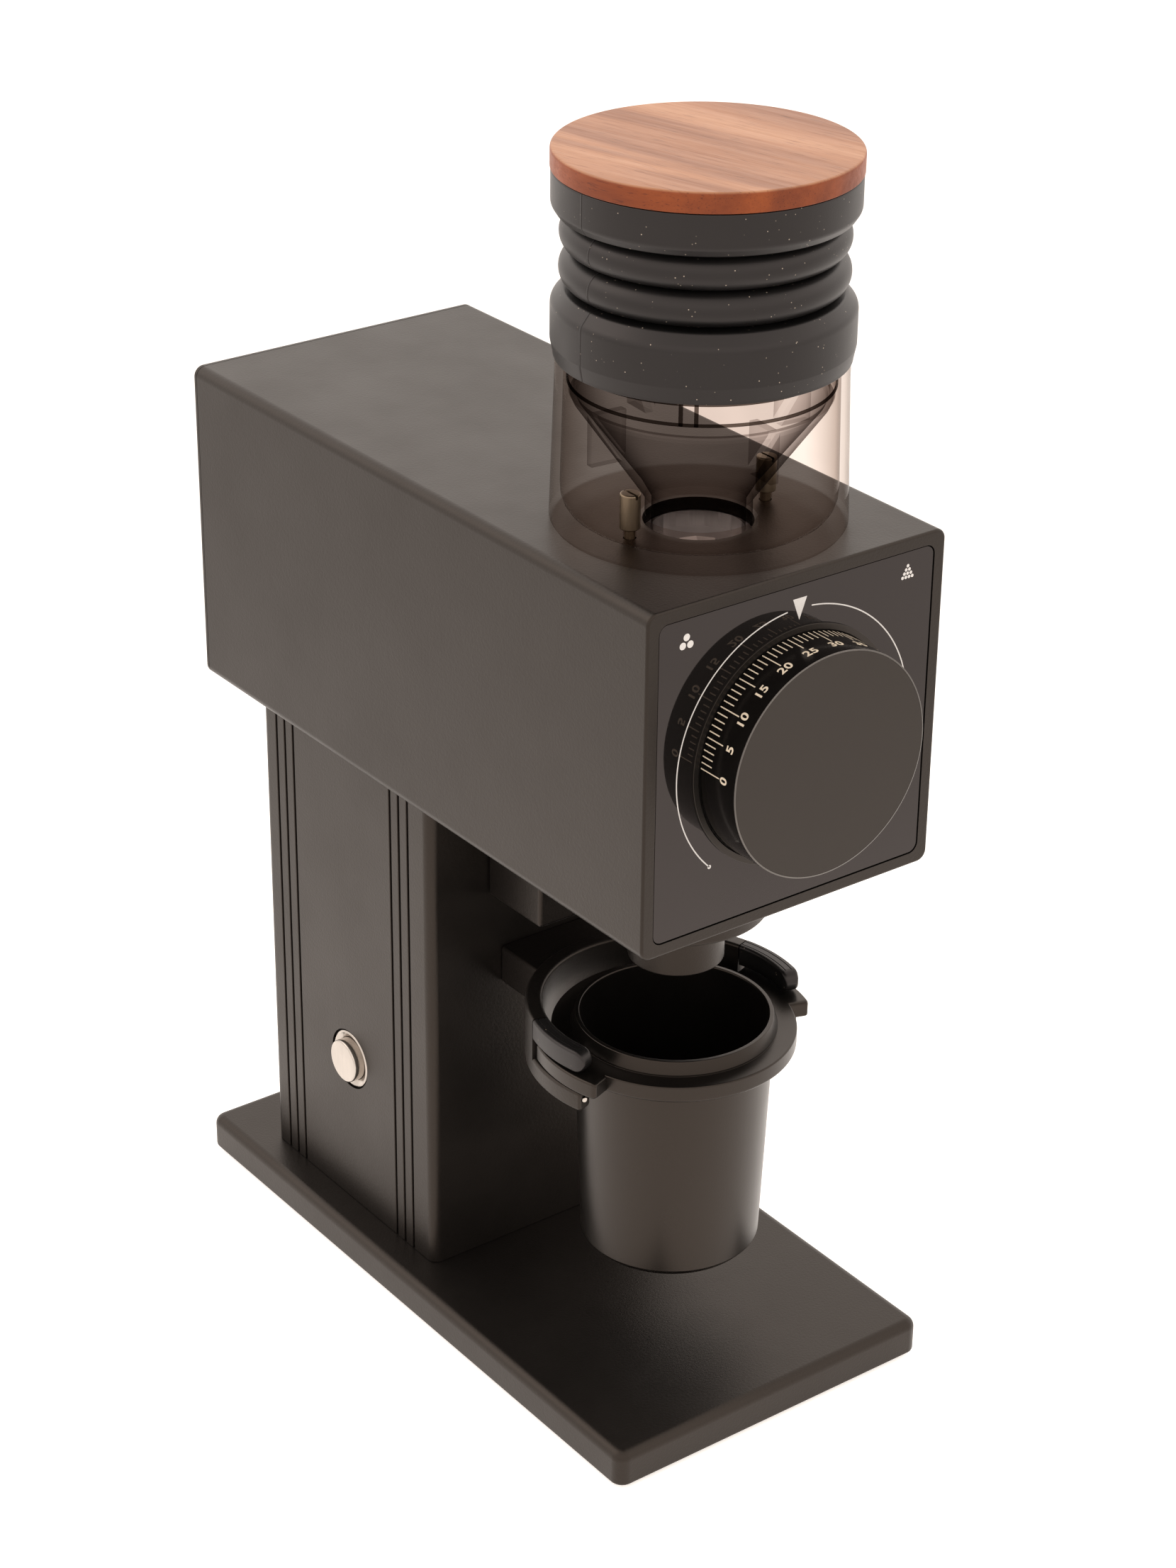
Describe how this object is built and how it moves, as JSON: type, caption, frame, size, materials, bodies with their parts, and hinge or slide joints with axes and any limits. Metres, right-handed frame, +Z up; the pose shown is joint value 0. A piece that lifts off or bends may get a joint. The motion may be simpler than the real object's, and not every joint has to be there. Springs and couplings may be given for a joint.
{
  "type": "electric coffee grinder",
  "caption": "Countertop single-dose coffee grinder: square housing on a column and base plate, front grind dial, smoked hopper under bellows with a wooden lid, and a cup hung in a fork.",
  "frame": {"origin": "on the surface the feet stand on, under the middle of the whole box", "axes": "+Z up; the front, with the dial, faces -Y; +X is to the right for someone who faces the dial"},
  "size_m": [0.1128, 0.2346, 0.3722],
  "materials": {
    "powder_black": "fine matte powder coat",
    "gloss_black": "gloss, with a printed white scale mark and two dot symbols",
    "satin_dark": "satin",
    "smoked": "polished, see-through smoke",
    "silicone": "matte moulded",
    "wood": "oiled, straight grain",
    "steel": "turned",
    "brass": "machined",
    "aluminium": "cast and machined",
    "board_green": "coated board",
    "plastic_black": "moulded"
  },
  "bodies": {
    "root": {"base_plate": "powder_black", "base_screw_front_left": "steel", "base_screw_front_right": "steel", "base_screw_rear_left": "steel", "base_screw_rear_right": "steel", "board_bracket": "aluminium", "button_housing": "steel", "button_nut": "steel", "chute_collar": "powder_black", "chute_tube": "powder_black", "column": "powder_black", "control_board": "board_green", "dial_bezel": "plastic_black", "foot_front_left": "silicone", "foot_front_right": "silicone", "foot_rear_left": "silicone", "foot_rear_right": "silicone", "fork": "powder_black", "fork_pad_left": "silicone", "fork_pad_right": "silicone", "fork_pin_left": "steel", "fork_pin_right": "steel", "front_bearing": "steel", "front_panel": "gloss_black", "funnel_cone": "smoked", "funnel_ring": "smoked", "funnel_spout": "smoked", "grind_chamber": "aluminium", "hopper": "smoked", "hopper_screw_left": "brass", "hopper_screw_right": "brass", "housing": "powder_black", "housing_bracket": "powder_black", "motor": "satin_dark", "motor_plate": "aluminium", "power_inlet": "plastic_black", "rear_bearing": "steel", "rear_cover": "powder_black", "rear_screw_lower_left": "steel", "rear_screw_lower_right": "steel", "rear_screw_upper_left": "steel", "rear_screw_upper_right": "steel"},
    "dial": {"dial": "satin_dark", "dial_face": "satin_dark"},
    "carrier": {"burr_carrier": "brass", "outer_burr": "steel"},
    "spindle": {"drive_shaft": "steel", "auger": "steel", "inner_burr": "steel", "sweeper": "steel", "drive_gear": "brass"},
    "motor_spindle": {"motor_shaft": "steel", "motor_pinion": "steel"},
    "bellows": {"bellows_collar": "silicone", "bellows_folds": "silicone"},
    "lid": {"bellows_rim": "silicone", "lid": "wood"},
    "cup": {"cup": "powder_black"},
    "button": {"button_cap": "steel"}
  },
  "joints": [
    {"name": "dial_turn", "type": "hinge", "parent": "root", "child": "dial", "pos_m": [0, -0.1174, 0.2203], "axis": [0, -1, 0], "range_deg": [-85.6, 192.4]},
    {"name": "carrier_slide", "type": "slide", "parent": "root", "child": "carrier", "axis": [0, -1, 0], "range_m": [-0.00036, 0.00081]},
    {"name": "spindle_spin", "type": "hinge", "parent": "root", "child": "spindle", "pos_m": [0, -0.03, 0.2203], "axis": [0, -1, 0], "continuous": true},
    {"name": "motor_spin", "type": "hinge", "parent": "root", "child": "motor_spindle", "pos_m": [0, -0.025, 0.1979], "axis": [0, -1, 0], "continuous": true},
    {"name": "bellows_lift", "type": "slide", "parent": "root", "child": "bellows", "axis": [0, 0, 1], "range_m": [0, 0.06]},
    {"name": "lid_press", "type": "slide", "parent": "bellows", "child": "lid", "axis": [0, 0, -1], "range_m": [0, 0.012], "stiffness_N_per_m": 800, "springref_m": -0.002, "deforming": ["bellows_folds"]},
    {"name": "cup_slide", "type": "slide", "parent": "root", "child": "cup", "axis": [0, -1, 0], "range_m": [0, 0.1]},
    {"name": "button_press", "type": "slide", "parent": "root", "child": "button", "axis": [1, 0, 0], "range_m": [0, 0.002], "stiffness_N_per_m": 1500, "springref_m": -0.0005}
  ],
  "couplings": [
    {"joint": "carrier_slide", "follows": "dial_turn", "m_per_rad": 0.00023873},
    {"joint": "motor_spin", "follows": "spindle_spin", "ratio": -3}
  ]
}
